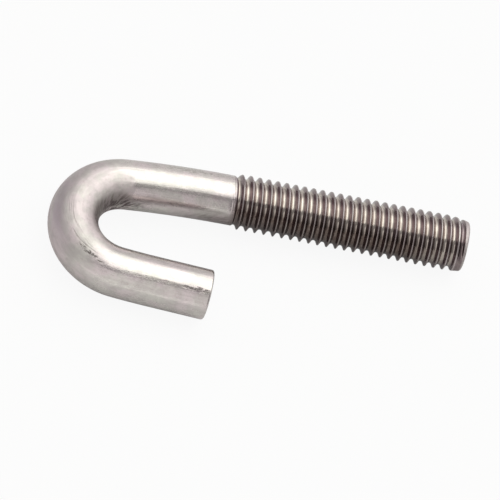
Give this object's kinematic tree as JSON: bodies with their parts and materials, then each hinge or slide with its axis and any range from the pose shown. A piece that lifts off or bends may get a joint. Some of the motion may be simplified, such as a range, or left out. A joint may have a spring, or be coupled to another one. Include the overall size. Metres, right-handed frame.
{
  "type": "j bolt",
  "caption": "Round steel rod with a rolled screw thread on one end and a hook bent in the other, so it looks like the letter J.",
  "frame": {"origin": "where the thread's axis meets the flat tip of the thread", "axes": "+X along the thread's axis, out of the tip; the hook lies in the XY plane with its short leg on the -Y side; +Z square to the hook, up when the bolt lies flat"},
  "size_m": [0.0724, 0.0296, 0.0096],
  "materials": {
    "steel": "satin"
  },
  "bodies": {
    "root": {"j_bolt": "steel"}
  },
  "joints": []
}
